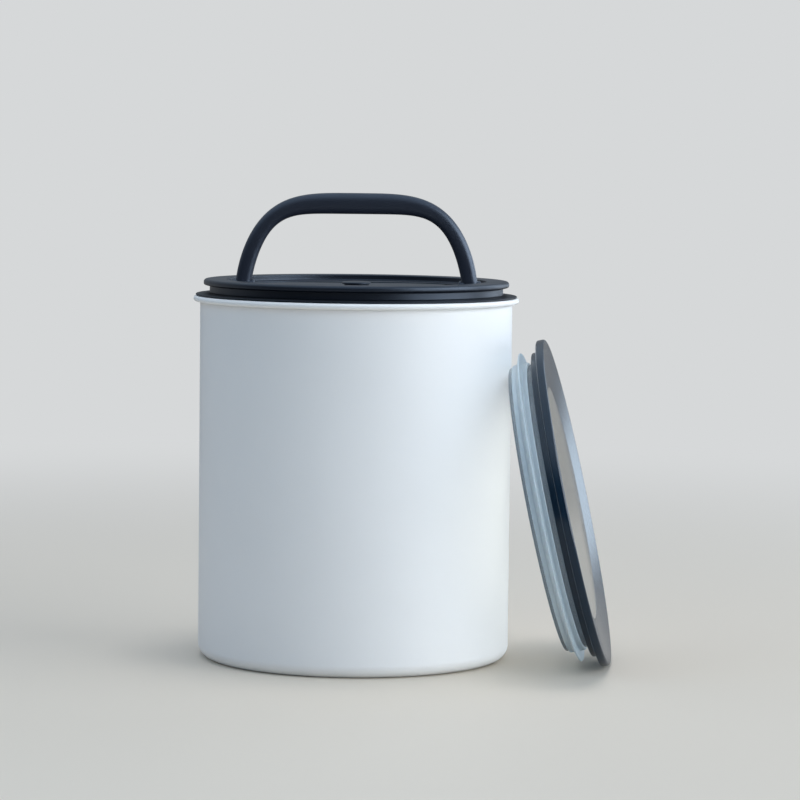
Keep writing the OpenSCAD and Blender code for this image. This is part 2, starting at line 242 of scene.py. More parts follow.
# %% Black plastics
def moulded(name, dark, pale, roughness, shine, grain, depth):
    """A moulded black material with an even grain and slight colour drift."""
    material, tree, place = new_material(name)
    grit = add_node(
        tree, "ShaderNodeTexNoise",
        {"Vector": place, "Scale": 1 / grain, "Detail": 3, "Roughness": 0.6},
    )
    drift = add_node(
        tree, "ShaderNodeTexNoise",
        {"Vector": place, "Scale": 1 / (25 * MM), "Detail": 2},
    )
    tint = add_node(tree, "ShaderNodeValToRGB", {"Fac": drift.outputs["Fac"]})
    tint.color_ramp.elements[0].color = linear(dark)
    tint.color_ramp.elements[0].position = 0.3
    tint.color_ramp.elements[1].color = linear(pale)
    tint.color_ramp.elements[1].position = 0.7
    wear = add_node(
        tree, "ShaderNodeMapRange",
        {"Value": drift.outputs["Fac"], "From Min": 0.3, "From Max": 0.7,
         "To Min": roughness + 0.05, "To Max": roughness - 0.05},
    )
    bump = add_node(
        tree, "ShaderNodeBump",
        {"Height": grit.outputs["Fac"], "Distance": depth, "Strength": 0.6},
    )
    shader = add_node(
        tree, "ShaderNodeBsdfPrincipled",
        {
            "Base Color": tint.outputs["Color"],
            "Roughness": wear.outputs["Result"],
            "IOR": 1.53,
            "Specular IOR Level": shine,
            "Specular Tint": linear("D4E6FF"),
            "Normal": bump.outputs["Normal"],
        },
    )
    finish_with(tree, shader)
    return material


lid_plastic = moulded("moulded_black_ABS", "0D1118", "121722", 0.4, 0.8, 0.7 * MM, 0.006 * MM)
handle_plastic = moulded("glass_filled_nylon", "1C1F29", "232631", 0.4, 1.0, 0.7 * MM, 0.004 * MM)
seal_rubber = moulded("moulded_seal_rubber", "0C0E13", "111419", 0.5, 0.4, 0.9 * MM, 0.02 * MM)
valve_silicone = moulded("grey_valve_silicone", "33373E", "3E434B", 0.5, 0.4, 0.9 * MM, 0.02 * MM)
print("made", lid_plastic.name, handle_plastic.name, seal_rubber.name, valve_silicone.name)

# %% [markdown]
# ## Smoked and frosted see-through plastics
#
# The outer lid is smoked SAN, a hard clear styrene plastic with a grey-blue dye. Where it is thick,
# at the edge, it looks nearly black; where it is thin, in the window, it is a pale grey. The
# gasket is natural silicone rubber, which is cloudy: light enters it, scatters and comes out
# again, so it looks softly lit from inside. Each is a Principled shader with transmission.

# %% See-through plastics
def see_through(name, colour, roughness, ior, transmission, scatter=0.0, grain=1.5 * MM):
    """A clear, smoked or cloudy plastic with faint flow marks from moulding."""
    material, tree, place = new_material(name)
    flow = add_node(
        tree, "ShaderNodeTexNoise",
        {"Vector": place, "Scale": 1 / grain, "Detail": 2, "Roughness": 0.5},
    )
    haze = add_node(
        tree, "ShaderNodeMapRange",
        {"Value": flow.outputs["Fac"], "To Min": roughness * 0.8, "To Max": roughness * 1.2},
    )
    bump = add_node(
        tree, "ShaderNodeBump",
        {"Height": flow.outputs["Fac"], "Distance": 0.01 * MM, "Strength": 0.3},
    )
    shader = add_node(
        tree, "ShaderNodeBsdfPrincipled",
        {
            "Base Color": linear(colour),
            "Roughness": haze.outputs["Result"],
            "IOR": ior,
            "Transmission Weight": transmission,
            "Subsurface Weight": scatter,
            "Subsurface Radius": (1.0, 1.0, 1.0),
            "Subsurface Scale": 2 * MM,
            "Normal": bump.outputs["Normal"],
        },
    )
    finish_with(tree, shader)
    return material


smoked_edge = see_through("smoked_SAN_edge", "10283B", 0.16, 1.57, 0.2)
smoked_collar = see_through("smoked_SAN_collar", "8D99A2", 0.2, 1.57, 0.6)
clear_window = see_through("pale_SAN_window", "BCB9B0", 0.09, 1.57, 0.6)
gasket_silicone = see_through("natural_silicone", "BCC9D0", 0.4, 1.41, 0.1, 0.8)
print("made", smoked_edge.name, smoked_collar.name, clear_window.name, gasket_silicone.name)

# %% [markdown]
# ## Building skins in millimetres
#
# Most pieces here are turned: one outline spun round an axis. A Screw modifier could do that,
# but some pieces also have flat floors with holes in them, so both kinds use one small class.
# It keeps loops of points, joins one loop to the next with four-sided faces, and fills a flat
# area between an outer loop and its holes. Every skin is closed, so it is a solid.

# %% Skins
class Skin:
    """Loops of points in millimetres and the faces between them."""

    def __init__(self):
        self.points = []
        self.faces = []

    def loop(self, coords):
        """Adds points and returns their numbers."""
        first = len(self.points)
        self.points += [Vector(p) for p in coords]
        return list(range(first, len(self.points)))

    def circle(self, r, z, steps):
        """A ring round the Z axis, or a single point where r is nothing."""
        if r < 1e-6:
            return self.loop([(0, 0, z)])
        turns = [2 * pi * i / steps for i in range(steps)]
        return self.loop([(r * cos(a), r * sin(a), z) for a in turns])

    def bridge(self, low, high):
        """Faces from one loop to the next; they look outward when high is above low."""
        steps = max(len(low), len(high))
        for i in range(steps):
            j = (i + 1) % steps
            ring = [low[i % len(low)], low[j % len(low)], high[j % len(high)], high[i % len(high)]]
            face = [p for k, p in enumerate(ring) if p not in ring[:k]]
            if len(face) > 2:
                self.faces.append(face)

    def fill(self, outer, holes=(), up=True):
        """Flat triangles inside an outer loop and outside its holes."""
        loops = [outer, *holes]
        numbers = [n for one in loops for n in one]
        flat = [[Vector((self.points[n].x, self.points[n].y, 0)) for n in one] for one in loops]
        for triangle in tessellate_polygon(flat):
            a, b, c = (numbers[k] for k in triangle)
            side_b = self.points[b] - self.points[a]
            side_c = self.points[c] - self.points[a]
            facing = side_b.x * side_c.y - side_b.y * side_c.x
            self.faces.append([a, b, c] if (facing > 0) == up else [a, c, b])

    def make(self, name, finish, sharp=40):
        """The object, in metres, shaded smooth with corners sharper than the angle kept."""
        mesh = bpy.data.meshes.new(name)
        mesh.from_pydata([p * MM for p in self.points], [], self.faces)
        mesh.shade_smooth()
        mesh.set_sharp_from_angle(angle=radians(sharp))
        piece = bpy.data.objects.new(name, mesh)
        bpy.context.scene.collection.objects.link(piece)
        piece.data.materials.append(finish)
        even = piece.modifiers.new("even_shading", "WEIGHTED_NORMAL")
        even.keep_sharp = True
        return piece


def softened(corners, steps=5):
    """A closed outline whose corners, given as (x, y, radius), are rounded."""
    outline = []
    for i, here in enumerate(corners):
        corner = Vector(here[:2])
        if len(here) == 2:
            outline.append(tuple(corner))
            continue
        back = (Vector(corners[i - 1][:2]) - corner).normalized()
        ahead = (Vector(corners[(i + 1) % len(corners)][:2]) - corner).normalized()
        half = back.angle(ahead) / 2
        reach = here[2] / tan(half)
        centre = corner + (back + ahead).normalized() * here[2] / sin(half)
        start = corner + back * reach - centre
        end = corner + ahead * reach - centre
        first = atan2(start.y, start.x)
        sweep = (atan2(end.y, end.x) - first + pi) % (2 * pi) - pi
        for k in range(steps + 1):
            a = first + sweep * k / steps
            outline.append((centre.x + here[2] * cos(a), centre.y + here[2] * sin(a)))
    return outline


def turned(name, outline, finish, steps=192):
    """A solid turned from a closed outline of (radius, height) that runs anticlockwise."""
    skin = Skin()
    rings = [skin.circle(r, z, steps) for r, z in outline]
    for low, high in zip(rings, rings[1:] + rings[:1]):
        skin.bridge(low, high)
    return skin.make(name, finish)


def settle(piece, body, slot, *replaced):
    """Hangs a piece on its body and hides the CAD nodes it stands for. Its slot is not used."""
    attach(piece, body)
    if replaced:
        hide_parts(*replaced)
    print(piece.name, "faces:", len(piece.data.polygons))


# %% [markdown]
# ## The can
#
# The can is drawn from one sheet 0.6 mm thick: the base runs into the wall through a soft bend,
# and the top is rolled outward into a hollow rim, so that no cut edge can scratch a hand. The
# outline follows the sheet all the way round the roll and back inside it. Outside it is powder
# coated, and inside the bare steel shows, so the faces get one of two materials by which side
# of the sheet they are on.

# %% Can
SHELL_R = 85.3
SHEET = 0.6
BORE_R = SHELL_R - SHEET
CAN_H = 198.0
CORNER_R = 7.0
BEAD_R = 88.95
CURL_R = 1.6
CURL_Z = CAN_H - CURL_R
CURL_SLOT = 0.6


def arc(centre, r, start, end, steps):
    """Points of an arc, from one angle in degrees to another."""
    angles = [radians(start + (end - start) * k / steps) for k in range(steps + 1)]
    return [(centre[0] + r * cos(a), centre[1] + r * sin(a)) for a in angles]


def can_outline():
    """The outer face going up, round the roll and back, then the inner face down."""
    outer = [(0, 0), *arc((SHELL_R - CORNER_R, CORNER_R), CORNER_R, -90, 0, 12)]
    outer += [(SHELL_R, z) for z in range(20, 190, 20)]
    outer.append((SHELL_R, CURL_Z))
    inner_roll = (BORE_R + CURL_R, CURL_Z)
    outer_roll = (BEAD_R - CURL_R, CURL_Z)
    thin = CURL_R - SHEET
    hollow = arc(inner_roll, thin, 170, 90, 6) + arc(outer_roll, thin, 90, -90, 10)
    lip = [(SHELL_R + CURL_SLOT, CURL_Z - thin), (SHELL_R + CURL_SLOT, CURL_Z - CURL_R)]
    roll = arc(outer_roll, CURL_R, -90, 90, 14) + arc(inner_roll, CURL_R, 90, 180, 8)
    inner = [(BORE_R, z) for z in range(180, 10, -20)]
    bend = CORNER_R - SHEET
    inner += arc((BORE_R - bend, CORNER_R), bend, 0, -90, 12) + [(0, SHEET)]
    return outer + hollow + lip + roll, inner


def can():
    """The can, with bare steel on the faces of the sheet's inner side."""
    coated, bare = can_outline()
    steps = 256
    shell = turned("canister", coated + bare, coat, steps)
    shell.data.materials.append(steel_inside)
    first_bare = (len(coated) - 1) * steps
    for face in shell.data.polygons:
        face.material_index = 1 if face.index >= first_bare else 0
    return shell


settle(can(), "canister", "powder_coated_steel", "canister_shell")

# %% [markdown]
# ## The inner lid's upper half
#
# The upper half is one moulding: a flange that guides it in the bore, a neck below it, and a
# shallow dish with a recess that the handle folds into. The flange is turned, but the recess
# isn't round. Cutting it out with a Boolean would leave ragged shading, so the dish floor is
# filled as a flat area with holes, and the recess walls are loops of its own outline, moved in
# and out a little as they go down. That also gives the moulded draft and the small edge radii.

# %% Sizes of the inner lid
LID_Z = 207.0
FLANGE_Z = 203.7
NECK_Z = 199.5
SEAL_Z = 198.1
FLOOR_Z = 203.8
RECESS_Z = 198.5
PLATE_Z = 192.0
BASE_Z = 190.0
WALL = 2.0
FLANGE_R = 83.5
NECK_R = 80.2
DISH_R = 71.0
SPIGOT_R = 73.5
PIVOT_Z = 203.0
HANDLE_H = 51.4
GRIP_W = 11.5
ARCH_OUT = 66.2
ARCH_IN = 57.8
FOOT_OUT = 68.2
FOOT_IN = 55.8
KNUCKLE_R = 4.1
OUTER_SHAPE = (3.82, 1.63)
INNER_SHAPE = (5.9, 1.27)
RECESS_GAP = 1.2
SEAT_HOLE_R = 7.05


def arch_point(half_width, height, shape, angle):
    """A point on the handle's rounded arch, across and up."""
    side = 1 if cos(angle) >= 0 else -1
    return (
        half_width * side * abs(cos(angle)) ** (2 / shape[0]),
        height * max(0.0, sin(angle)) ** (2 / shape[1]),
    )


def grown(outline, margin):
    """An anticlockwise outline moved outward by a margin, point for point."""
    moved = []
    for i, here in enumerate(outline):
        before = Vector(here) - Vector(outline[i - 1])
        after = Vector(outline[(i + 1) % len(outline)]) - Vector(here)
        normal_in = Vector((before.y, -before.x)).normalized()
        normal_out = Vector((after.y, -after.x)).normalized()
        normal = (normal_in + normal_out).normalized()
        push = margin / max(0.5, normal.dot(normal_out))
        moved.append((here[0] + normal.x * push, here[1] + normal.y * push))
    return moved


def recess_outline():
    """Where the folded handle lies: its arch with room round it, and a pocket at each foot."""
    pocket_low = -KNUCKLE_R - 0.3
    pocket_high = pocket_low + 2 * KNUCKLE_R + 4
    wide = FOOT_OUT + 0.2
    narrow = FOOT_IN - RECESS_GAP
    steps = 120
    angles = [pi * i / steps for i in range(steps + 1)]
    outer = [
        arch_point(ARCH_OUT + RECESS_GAP, HANDLE_H + RECESS_GAP, OUTER_SHAPE, a) for a in angles
    ]
    inner = [
        arch_point(ARCH_IN - RECESS_GAP, HANDLE_H - GRIP_W - RECESS_GAP, INNER_SHAPE, a)
        for a in angles
    ]
    outer = [p for p in outer if p[1] > pocket_high + 1.5]
    inner = [p for p in inner if p[1] > pocket_high + 1.5 and abs(p[0]) < narrow]
    shoulder = outer[0][0] + 0.25
    corners = [(narrow, pocket_low, 1.0), (wide, pocket_low, 1.0), (wide, pocket_high, 0.8)]
    corners += [(shoulder, pocket_high, 0.8), *outer, (-shoulder, pocket_high, 0.8)]
    corners += [(-wide, pocket_high, 0.8), (-wide, pocket_low, 1.0), (-narrow, pocket_low, 1.0)]
    corners += [(-p[0], p[1]) for p in inner]
    return softened(corners, 4)


recess = recess_outline()
print("recess outline points:", len(recess))

# %% Upper moulding
def raised(outline, z):
    """An outline in the plane, lifted to a height."""
    return [(x, y, z) for x, y in outline]


def rounded_block(skin, low, high, r):
    """A block with rounded upright edges and a rounded top, added to a skin."""
    plan = softened(
        [(low[0], low[1], r), (high[0], low[1], r), (high[0], high[1], r), (low[0], high[1], r)]
    )
    loops = [skin.loop(raised(plan, low[2]))]
    for k in range(5):
        a = pi / 2 * k / 4
        inset = (1 - cos(a)) * r * 0.9
        loops.append(skin.loop(raised(grown(plan, -inset), high[2] - r + r * sin(a))))
    for lower, upper in zip(loops, loops[1:]):
        skin.bridge(lower, upper)
    skin.fill(loops[0], up=False)
    skin.fill(loops[-1])


def lid_upper():
    """Flange, neck, dish and handle recess as one closed skin."""
    steps = 192
    skin = Skin()
    open_outline = softened(
        [
            (DISH_R, FLOOR_Z - WALL), (DISH_R, PLATE_Z, 0.3), (SPIGOT_R, PLATE_Z, 0.5),
            (SPIGOT_R, FLANGE_Z, 0.5), (NECK_R - WALL, FLANGE_Z, 0.5),
            (NECK_R - WALL, NECK_Z, 0.3), (NECK_R, NECK_Z, 0.4), (NECK_R, FLANGE_Z, 0.8),
            (FLANGE_R, FLANGE_Z, 1.0), (FLANGE_R, LID_Z, 1.6), (DISH_R, LID_Z, 0.6),
            (DISH_R, FLOOR_Z, 1.0), (DISH_R - 3, FLOOR_Z),
        ]
    )
    rings = [skin.circle(r, z, steps) for r, z in open_outline]
    for low, high in zip(rings, rings[1:]):
        skin.bridge(low, high)
    hole_top = skin.circle(SEAT_HOLE_R, FLOOR_Z, 64)
    hole_low = skin.circle(SEAT_HOLE_R, FLOOR_Z - WALL, 64)
    skin.bridge(hole_top, hole_low)
    edge = 0.4
    toe = 0.9
    walls = [(edge - edge * sin(a), FLOOR_Z - edge + edge * cos(a)) for a in (0, 0.5, 1.05, pi / 2)]
    walls += [
        (-0.08 - toe + toe * cos(a), RECESS_Z + toe - toe * sin(a)) for a in (0, 0.5, 1.05, pi / 2)
    ]
    loops = [skin.loop(raised(grown(recess, margin), z)) for margin, z in walls]
    for upper, lower in zip(loops, loops[1:]):
        skin.bridge(upper, lower)
    skin.fill(loops[-1])
    skin.fill(rings[-1], [loops[0], hole_top])
    tray = [(WALL, FLOOR_Z - WALL), (WALL, RECESS_Z - WALL + 0.5), (WALL - 0.5, RECESS_Z - WALL)]
    outside = [skin.loop(raised(grown(recess, margin), z)) for margin, z in tray]
    for upper, lower in zip(outside, outside[1:]):
        skin.bridge(lower, upper)
    skin.fill(outside[-1], up=False)
    skin.fill(rings[0], [outside[0], hole_low], up=False)
    for side in (-1, 1):
        near, far = sorted((side * (FOOT_OUT + 0.2), side * (DISH_R + 0.4)))
        low = (near, -KNUCKLE_R, RECESS_Z)
        rounded_block(skin, low, (far, KNUCKLE_R, PIVOT_Z + 2.2), 0.5)
    return skin.make("inner_lid_top", lid_plastic)


settle(lid_upper(), "inner_lid", "black_moulding", "lid_top")

# %% [markdown]
# ## The inner lid's lower half
#
# The base plate closes the lid from below. It presses on the coffee, so it is a flat disc with a
# bevelled edge, and eight slots let the air up to the valve. Each slot has round ends here,
# as a moulder would make it, because square ones crack.

# %% Lower moulding
BASE_R = 80.0


def slot_outline(angle, near, far, half):
    """A slot with round ends that points away from the axis."""
    plan = arc((far - half, 0), half, -90, 90, 8) + arc((near + half, 0), half, 90, 270, 8)
    return [(x * cos(angle) - y * sin(angle), x * sin(angle) + y * cos(angle)) for x, y in plan]


def lid_lower():
    """Base plate, its upright wall and the air slots as one closed skin."""
    steps = 192
    skin = Skin()
    outline = softened(
        [
            (BASE_R - 4, BASE_Z), (BASE_R - 1.5, BASE_Z, 0.8), (BASE_R, BASE_Z + 1.5, 0.8),
            (BASE_R, SEAL_Z, 0.2), (SPIGOT_R + 0.05, SEAL_Z, 0.2),
            (SPIGOT_R + 0.05, SEAL_Z - WALL, 0.2), (BASE_R - WALL, SEAL_Z - WALL, 0.2),
            (BASE_R - WALL, PLATE_Z, 0.6), (BASE_R - 4, PLATE_Z),
        ]
    )
    rings = [skin.circle(r, z, steps) for r, z in outline]
    for low, high in zip(rings, rings[1:]):
        skin.bridge(low, high)
    lower, upper = [], []
    for i in range(8):
        plan = slot_outline(2 * pi * i / 8, 4, 11, 1)
        lower.append(skin.loop(raised(plan, BASE_Z)))
        upper.append(skin.loop(raised(plan, PLATE_Z)))
        skin.bridge(upper[-1], lower[-1])
    grooves = []
    for r in (30, 52):
        section = [(r - 0.8, BASE_Z), (r - 0.4, BASE_Z + 0.4), (r + 0.4, BASE_Z + 0.4), (r + 0.8, BASE_Z)]
        loops = [skin.circle(radius, z, steps) for radius, z in section]
        for inner, outer in zip(loops, loops[1:]):
            skin.bridge(inner, outer)
        grooves.append((loops[0], loops[-1]))
    skin.fill(grooves[0][0], lower, up=False)
    skin.fill(grooves[1][0], [grooves[0][1]], up=False)
    skin.fill(rings[0], [grooves[1][1]], up=False)
    skin.fill(rings[-1], upper)
    return skin.make("inner_lid_base", lid_plastic)


settle(lid_lower(), "inner_lid", "black_moulding", "lid_base")

# %% [markdown]
# ## The wiper seal
#
# A rubber lip is held between the lid's halves. At rest it lies on the rim, wider than the bore,
# and when the lid is pushed in it bends up against the wall. The lip is cut into 36 short
# segments that meet exactly, each hung on the inner lid.

# %% Wiper seal
LIP_R = 87.8
LIP_T = 0.9
SEGMENTS = 36


def lip_section():
    """The seal's cut face: a thick web at the neck that tapers to a round tip."""
    tip = LIP_T / 2
    middle = SEAL_Z + 0.05 + tip
    section = [(NECK_R, SEAL_Z + 0.02), (LIP_R - 4, SEAL_Z + 0.04)]
    section += arc((LIP_R - tip, middle), tip, -90, 90, 10)
    section += [(LIP_R - 4, SEAL_Z + 1.1), (NECK_R + 1.2, NECK_Z - 0.12), (NECK_R, NECK_Z)]
    return section


def lip_segment(number):
    """One closed segment of the lip."""
    fine = 8
    skin = Skin()
    width = 2 * pi / SEGMENTS
    ribs = []
    for k in range(fine + 1):
        a = width * (number - 0.5 + k / fine)
        ribs.append(skin.loop([(r * cos(a), r * sin(a), z) for r, z in lip_section()]))
    for here, beyond in zip(ribs, ribs[1:]):
        skin.bridge(beyond, here)
    skin.faces.append(list(ribs[0]))
    skin.faces.append(list(reversed(ribs[-1])))
    return skin.make(f"wiper_lip_{number:02d}", seal_rubber, 60)


web = turned(
    "wiper_web",
    softened([(SPIGOT_R + 0.05, SEAL_Z), (NECK_R + 0.05, SEAL_Z), (NECK_R + 0.05, NECK_Z), (SPIGOT_R + 0.05, NECK_Z)]),
    seal_rubber,
)
settle(web, "inner_lid", "seal_rubber", "wiper_seal")
for number in range(SEGMENTS):
    segment = lip_segment(number)
    direction = 2 * pi * number / SEGMENTS
    outward = Vector((cos(direction), sin(direction), 0))
    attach(segment, "inner_lid")
    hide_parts("wiper_seal")
    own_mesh(segment)
print("lip segments:", SEGMENTS)

# %% [markdown]
# ## The handle
#
# The handle is one thick arch of nylon whose legs end in round knuckles on steel pins. It could
# be a bevelled curve, but its section isn't a circle and the grip is wider than the legs. So
# the section, a softened oblong, is drawn at each step between the arch's outer and inner
# edge. The legs flare a little just above the knuckles, which spreads the load on the pins.

# %% Handle
HANDLE_T = 7.8
FLARE = 2.0
FLARE_H = 6.0
PIN_BORE_R = 1.55


def handle_section(angle, sides):
    """One cut through the arch, as points in millimetres above the pivots."""
    side = 1 if cos(angle) >= 0 else -1
    outer = Vector(arch_point(ARCH_OUT, HANDLE_H, OUTER_SHAPE, angle))
    inner = Vector(arch_point(ARCH_IN, HANDLE_H - GRIP_W, INNER_SHAPE, angle))
    flare = FLARE * max(0.0, 1 - outer.y / FLARE_H) ** 2
    outer.x += side * flare
    inner.x -= side * flare
    middle = (outer + inner) / 2
    reach = (outer - inner) / 2
    points = []
    for j in range(sides):
        a = 2 * pi * j / sides
        along = abs(cos(a)) ** (2 / 2.5) * (1 if cos(a) >= 0 else -1)
        depth = abs(sin(a)) ** (2 / 2.5) * (1 if sin(a) >= 0 else -1)
        p = middle + reach * along
        points.append((p.x, depth * HANDLE_T / 2, PIVOT_Z + p.y))
    return points


def knuckle(skin, side):
    """A turned knuckle with rounded ends and a blind bore for its pin."""
    length = FOOT_OUT - FOOT_IN
    outline = softened(
        [
            (0, 0), (KNUCKLE_R, 0, 1.2), (KNUCKLE_R, length, 1.2), (PIN_BORE_R, length, 0.2),
            (PIN_BORE_R, 1.5), (0, 1.5),
        ]
    )
    steps = 64
    rings = []
    for r, along in outline:
        count = 1 if r < 1e-6 else steps
        ring = []
        for i in range(count):
            a = 2 * pi * i / steps
            ring.append((side * (FOOT_IN + along), side * r * cos(a), PIVOT_Z + r * sin(a)))
        rings.append(skin.loop(ring))
    for low, high in zip(rings, rings[1:]):
        skin.bridge(low, high)


def handle():
    """The arch and its two knuckles."""
    rings, sides = 128, 40
    skin = Skin()
    cuts = [skin.loop(handle_section(pi * i / rings, sides)) for i in range(rings + 1)]
    for here, beyond in zip(cuts, cuts[1:]):
        skin.bridge(beyond, here)
    skin.faces.append(list(cuts[0]))
    skin.faces.append(list(reversed(cuts[-1])))
    for side in (-1, 1):
        knuckle(skin, side)
    return skin.make("folding_handle", handle_plastic)


settle(handle(), "handle", "handle_nylon", "handle")

# %% [markdown]
# ## The air valve
#
# Pressing the lid down pushes air up through the base plate, past a soft disc, and out under
# a small domed cap. A spring round the stem pulls the disc shut again. The cap and the disc
# are turned; the spring is a wire swept along a helix.

# %% Valve
CAP_R = 8.0
DISC_Z = 203.9
DISC_T = 0.9
STEM_R = 1.5
STEM_Z = 193.2
CLIP_Z = 193.7
CLIP_T = 0.8
CAP_TOP = 206.5


def valve_cap():
    """The domed cap and its stem, which has a neck for the clip."""
    under = DISC_Z + DISC_T
    dome = [(CAP_R * cos(a), under + 0.6 + (CAP_TOP - under - 0.6) * sin(a)) for a in
            (0.12, 0.3, 0.5, 0.7, 0.9, 1.1, 1.3, 1.45)]
    outline = softened(
        [
            (0, STEM_Z), (STEM_R, STEM_Z, 0.2), (STEM_R, CLIP_Z), (STEM_R - 0.3, CLIP_Z),
            (STEM_R - 0.3, CLIP_Z + CLIP_T), (STEM_R, CLIP_Z + CLIP_T), (STEM_R, under, 0.2),
            (CAP_R, under, 0.15), (CAP_R, under + 0.6, 0.15), *dome, (0, CAP_TOP),
        ]
    )
    return turned("valve_dome", outline, lid_plastic, 96)


def valve_disc():
    """The soft washer under the cap."""
    bore = STEM_R + 0.05
    outline = softened(
        [(bore, DISC_Z), (6.7, DISC_Z, 0.25), (6.7, DISC_Z + DISC_T, 0.25), (bore, DISC_Z + DISC_T)]
    )
    return turned("valve_washer", outline, valve_silicone, 96)


def valve_spring():
    """A helix of round wire between the clip and the seat."""
    turns, wire, radius = 4.5, 0.25, 2.75
    low, high = CLIP_Z + CLIP_T + 0.05 + wire, 200.25 - wire
    around, sides = 36, 12
    rings = floor(turns * around)
    skin = Skin()
    cuts = []
    for i in range(rings + 1):
        a = 2 * pi * i / around
        z = low + (high - low) * i / rings
        coords = []
        for j in range(sides):
            b = 2 * pi * j / sides
            r = radius + wire * cos(b)
            coords.append((r * cos(a), r * sin(a), z + wire * sin(b)))
        cuts.append(skin.loop(coords))
    for here, beyond in zip(cuts, cuts[1:]):
        skin.bridge(beyond, here)
    skin.faces.append(list(cuts[0]))
    skin.faces.append(list(reversed(cuts[-1])))
    return skin.make("valve_coil", steel_wire, 60)


settle(valve_cap(), "valve", "black_moulding", "valve_cap")
settle(valve_disc(), "valve", "valve_silicone", "valve_disc")
coil = valve_spring()
settle(coil, "inner_lid", "stainless_steel", "valve_spring")
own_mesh(coil)

# %% Small CAD nodes that stay
for node, finish in (
    ("valve_seat", lid_plastic),
    ("valve_clip", steel_wire),
    ("pivot_pin_left", steel_wire),
    ("pivot_pin_right", steel_wire),
):
    mesh = frame["nodes"][node].data
    mesh.materials.clear()
    mesh.materials.append(finish)
    print("finished CAD node", node)

# %% [markdown]
# ## The outer lid
#
# The outer lid is a smoked ring with a clear window set into its dished face, and a collar
# with a silicone gasket that grips the bore. It leans on the can. The easy way is to turn
# each piece flat, face up at the origin, and then to move the finished mesh into place with
# one matrix, whose Z axis is the direction that the lid lifts off in.

# %% Where the outer lid leans
RING_R = 89.95
RING_T = 4.4
WINDOW_R = 64.0
COLLAR_R = 77.9
STEP_R = 83.8
STEP_Z = -8.1
WINDOW_Z = -5.0
LEDGE_Z = -6.5
GASKET_Z = -11.1
GASKET_END = -19.7
COLLAR_Z = -21.6

lift_off = next(j for j in frame["joints"] if j["name"] == "outer_lid_off")
outward = Vector(lift_off["axis"]).normalized()
sideways = Vector((0, 0, 1)).cross(outward).normalized()
window_low, window_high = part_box("outer_lid_window")
window_middle = (window_low + window_high) / 2
face_centre = window_middle + outward * 4 * MM
leaning = Matrix((sideways, outward.cross(sideways), outward)).transposed().to_4x4()
leaning.translation = face_centre
print("outer lid's face centre:", [round(v, 4) for v in face_centre])

# %% Outer lid pieces
outer_lid_pieces = []


def leaned(piece, slot, node):
    """Sets a turned piece down where the outer lid leans, and hangs it on its body."""
    piece.data.transform(leaning)
    settle(piece, "outer_lid", slot, node)
    outer_lid_pieces.append(piece)


ring_outline = softened(
    [
        (WINDOW_R - 3, LEDGE_Z, 0.3), (COLLAR_R + 0.05, LEDGE_Z), (COLLAR_R + 0.05, STEP_Z, 0.3),
        (STEP_R, STEP_Z, 0.5), (STEP_R, -RING_T, 0.4), (RING_R, -RING_T, 0.8),
        (RING_R, 0, 1.2), (RING_R - 2.5, 0, 1.5), (WINDOW_R + 0.05, -3.0, 0.4),
        (WINDOW_R + 0.05, WINDOW_Z, 0.1), (WINDOW_R - 3, WINDOW_Z, 0.3),
    ]
)
leaned(turned("outer_lid_rim", ring_outline, smoked_edge, 256), "smoked_plastic", "outer_lid_ring")

window_outline = softened(
    [(0, WINDOW_Z), (WINDOW_R, WINDOW_Z, 0.2), (WINDOW_R, -3.0, 0.3), (0, -3.0)]
)
leaned(
    turned("outer_lid_pane", window_outline, clear_window, 192), "window_plastic", "outer_lid_window"
)

collar_outline = softened(
    [
        (COLLAR_R - 3.7, COLLAR_Z, 0.6), (COLLAR_R + 0.2, COLLAR_Z, 0.5),
        (COLLAR_R + 0.2, GASKET_END, 0.2), (COLLAR_R - 1.5, GASKET_END, 0.2),
        (COLLAR_R - 1.5, GASKET_Z, 0.2), (COLLAR_R, GASKET_Z, 0.2), (COLLAR_R, LEDGE_Z),
        (COLLAR_R - 3.7, LEDGE_Z, 0.2),
    ]
)
leaned(
    turned("outer_lid_wall", collar_outline, smoked_collar, 256), "smoked_plastic", "outer_lid_collar"
)


def gasket_outline():
    """The gasket's body in its groove, with one soft lip that leans out."""
    groove = COLLAR_R - 1.5 + 0.05
    body = COLLAR_R + 1.4
    low = GASKET_END + 0.05
    high = GASKET_Z - 0.05
    lip = high - 3.5
    tip = 0.5
    reach = BORE_R + 0.35 - tip
    outline = softened([(groove, low, 0.3), (body, low, 0.6), (body, lip - 2.4, 1.0), (reach, lip - tip)])
    outline += arc((reach, lip), tip, -80, 80, 8)
    outline += softened([(reach, lip + tip), (body, lip + 0.7, 0.6), (body, high, 0.6), (groove, high, 0.3)])
    return outline


leaned(turned("outer_lid_seal", gasket_outline(), gasket_silicone, 256), "gasket_silicone", "outer_lid_gasket")

# %% [markdown]
# ## The floor
#
# The object stands on a plain pale floor. Far away the floor takes the backdrop's tone, so no
# horizon line cuts through the picture. A paper roll that curves up behind would do that too,
# but it would throw light on the object. Here an emission shader is mixed in by distance, and
# Light Path says which ray asks. Camera and see-through rays get the pale tone, rays that light
# the object get the plain floor, and mirror rays a darker one, like a table top in a room.

